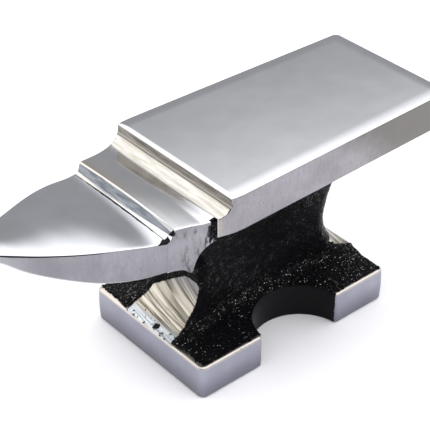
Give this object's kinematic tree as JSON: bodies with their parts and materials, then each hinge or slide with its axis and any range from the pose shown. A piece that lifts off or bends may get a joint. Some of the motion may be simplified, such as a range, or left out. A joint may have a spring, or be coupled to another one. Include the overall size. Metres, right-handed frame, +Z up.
{
  "type": "bench anvil",
  "caption": "Small bench anvil with a polished face, stepped table, horn and square heel on a black enamelled waist and a notched foot.",
  "frame": {"origin": "on the resting plane, below the middle of the anvil's length and width", "axes": "+Z up, +X from the horn towards the heel, so that the horn points to -X; +Y completes the frame"},
  "size_m": [0.1124, 0.038, 0.0486],
  "materials": {
    "ground_foot": "ground and lightly polished",
    "waist_metal": "as cast, under the enamel",
    "ground_ramp": "coarsely ground",
    "polished_face": "mirror polished",
    "polished_step": "polished",
    "polished_horn": "mirror polished",
    "black_enamel": "gloss black enamel over a sand-cast skin",
    "seam_paint": "black enamel"
  },
  "bodies": {
    "root": {"base": "ground_foot", "waist": "waist_metal", "front_ramp": "ground_ramp", "rear_ramp": "ground_ramp", "face": "polished_face", "step": "polished_step", "horn": "polished_horn", "enamel_left": "black_enamel", "enamel_right": "black_enamel", "seam_paint_left": "seam_paint", "seam_paint_right": "seam_paint"}
  },
  "joints": []
}
